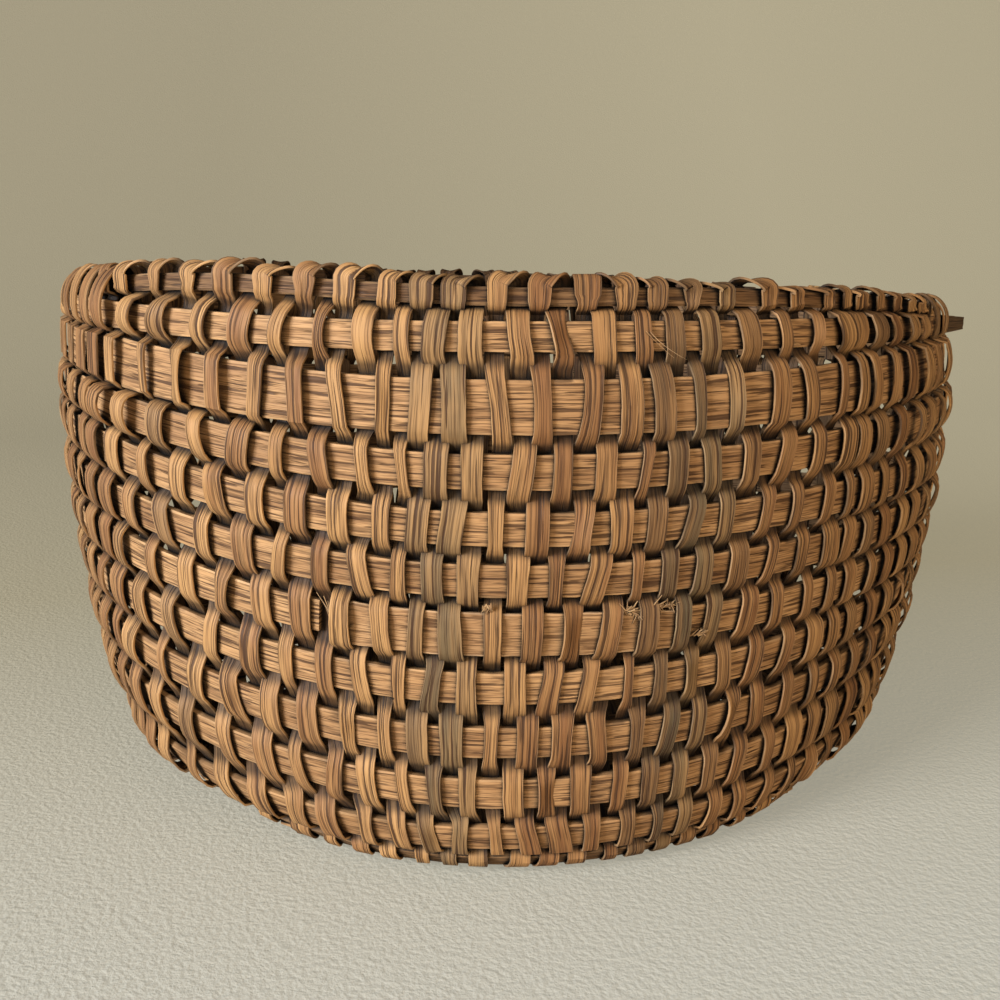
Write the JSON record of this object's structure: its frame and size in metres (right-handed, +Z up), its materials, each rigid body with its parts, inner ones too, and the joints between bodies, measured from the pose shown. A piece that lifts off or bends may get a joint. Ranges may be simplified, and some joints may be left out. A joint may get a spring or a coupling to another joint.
{
  "type": "harvest basket",
  "caption": "Deep oval harvest basket of flat wooden splints: stiff hoops crossed by thin weavers folded over the rim, open at the top, no handle.",
  "frame": {"origin": "on the table, under the middle of the basket", "axes": "+X along the length, +Y towards the back, +Z up"},
  "size_m": [0.3162, 0.2328, 0.1886],
  "materials": {
    "hoop_splint": "dry riven oak splint, straw to brown, open straight grain, no varnish",
    "weaver_splint": "thin aged oak splint, honey to red brown with grey-olive weathered lengths, dull",
    "splice_splint": "short mending splint of the same oak, ends cut by hand and frayed"
  },
  "bodies": {
    "root": {"rim_hoop": "hoop_splint", "hoop_02": "hoop_splint", "hoop_03_broad": "hoop_splint", "hoop_04": "hoop_splint", "hoop_05": "hoop_splint", "hoop_06": "hoop_splint", "hoop_07": "hoop_splint", "hoop_08": "hoop_splint", "hoop_09": "hoop_splint", "hoop_10": "hoop_splint", "hoop_11": "hoop_splint", "foot_hoop": "hoop_splint", "base_rib_01": "hoop_splint", "base_rib_02": "hoop_splint", "base_rib_03": "hoop_splint", "base_rib_04": "hoop_splint", "base_rib_05": "hoop_splint", "base_rib_06": "hoop_splint", "base_rib_07": "hoop_splint", "base_rib_08": "hoop_splint", "base_rib_09": "hoop_splint", "base_rib_10": "hoop_splint", "base_rib_11": "hoop_splint", "cross_weaver_01": "weaver_splint", "cross_weaver_02": "weaver_splint", "cross_weaver_03": "weaver_splint", "cross_weaver_04": "weaver_splint", "cross_weaver_05": "weaver_splint", "cross_weaver_06": "weaver_splint", "cross_weaver_07": "weaver_splint", "cross_weaver_08": "weaver_splint", "cross_weaver_09": "weaver_splint", "cross_weaver_10": "weaver_splint", "cross_weaver_11": "weaver_splint", "left_weaver_01": "weaver_splint", "left_weaver_02": "weaver_splint", "left_weaver_03": "weaver_splint", "left_weaver_04": "weaver_splint", "left_weaver_05": "weaver_splint", "left_weaver_06": "weaver_splint", "left_weaver_07": "weaver_splint", "left_weaver_08": "weaver_splint", "left_weaver_09": "weaver_splint", "right_weaver_01": "weaver_splint", "right_weaver_02": "weaver_splint", "right_weaver_03": "weaver_splint", "right_weaver_04": "weaver_splint", "right_weaver_05": "weaver_splint", "right_weaver_06": "weaver_splint", "right_weaver_07": "weaver_splint", "right_weaver_08": "weaver_splint", "right_weaver_09": "weaver_splint", "splice_splint": "splice_splint"}
  },
  "joints": []
}
